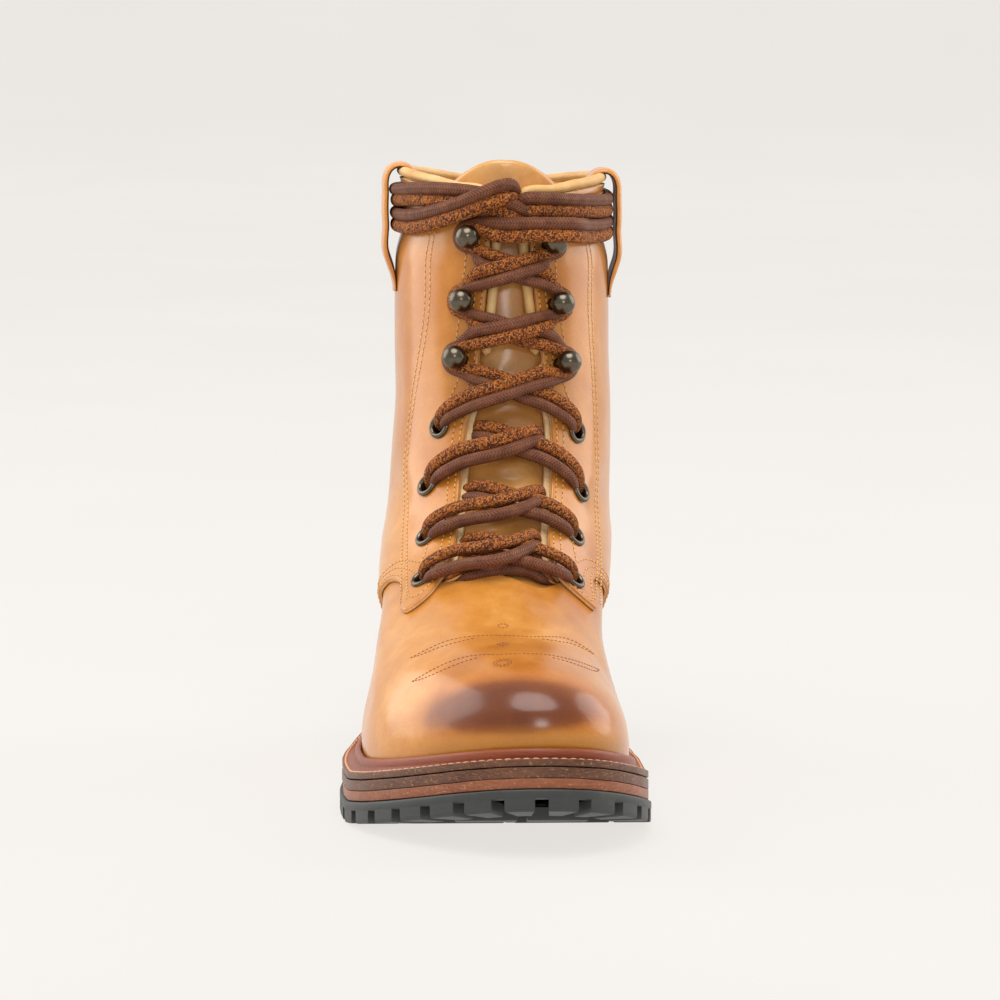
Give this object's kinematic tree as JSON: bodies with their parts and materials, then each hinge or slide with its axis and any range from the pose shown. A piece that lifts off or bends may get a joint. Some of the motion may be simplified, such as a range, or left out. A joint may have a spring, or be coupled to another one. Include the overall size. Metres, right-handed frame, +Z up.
{
  "type": "boot",
  "caption": "ankle boot with eyelets, ball hooks, double laces wrapped round the shaft, storm welt, leather midsoles and a lugged rubber sole with a stacked heel",
  "frame": {"origin": "centre of the heel's ground face, on the floor", "axes": "+Z up; the toe points to -Y and the heel to +Y; +X is the inner side of the foot"},
  "size_m": [0.1063, 0.2772, 0.2232],
  "materials": {
    "tan_leather": "smooth pull-up leather, waxed, honey tan burnished dark brown over the toe",
    "tongue_leather": "smooth tan leather, soft satin",
    "binding": "rolled edge binding, pale cream tan",
    "strap_leather": "tan leather strap, dark brown flesh side",
    "insole_leather": "undyed insole leather, matt",
    "welt_leather": "reddish brown storm welt with pale stitches",
    "midsole_leather": "dark brown stacked leather, scuffed edge",
    "slip_leather": "reddish brown leather, scuffed edge",
    "rubber": "dark grey lugged rubber, matt",
    "gunmetal": "polished gunmetal plating",
    "lace": "waxed braided cord, dark brown beside an orange and dark speckled cord"
  },
  "bodies": {
    "root": {"upper": "tan_leather", "quarter_inner": "tan_leather", "quarter_outer": "tan_leather", "tongue": "tongue_leather", "collar_binding": "binding", "pull_loop_inner": "strap_leather", "pull_loop_outer": "strap_leather", "insole": "insole_leather", "welt": "welt_leather", "midsole": "midsole_leather", "slip_sole": "slip_leather", "outsole": "rubber", "heel_stack": "midsole_leather", "heel_lift": "rubber", "eyelet_inner_1": "gunmetal", "eyelet_outer_1": "gunmetal", "eyelet_inner_2": "gunmetal", "eyelet_outer_2": "gunmetal", "eyelet_inner_3": "gunmetal", "eyelet_outer_3": "gunmetal", "eyelet_inner_4": "gunmetal", "eyelet_outer_4": "gunmetal", "hook_inner_5": "gunmetal", "hook_outer_5": "gunmetal", "hook_inner_6": "gunmetal", "hook_outer_6": "gunmetal", "hook_inner_7": "gunmetal", "hook_outer_7": "gunmetal", "lace_bar": "lace", "lace_crossing_1": "lace", "lace_crossing_2": "lace", "lace_crossing_3": "lace", "lace_crossing_4": "lace", "lace_crossing_5": "lace", "lace_crossing_6": "lace", "lace_wraps": "lace"}
  },
  "joints": []
}
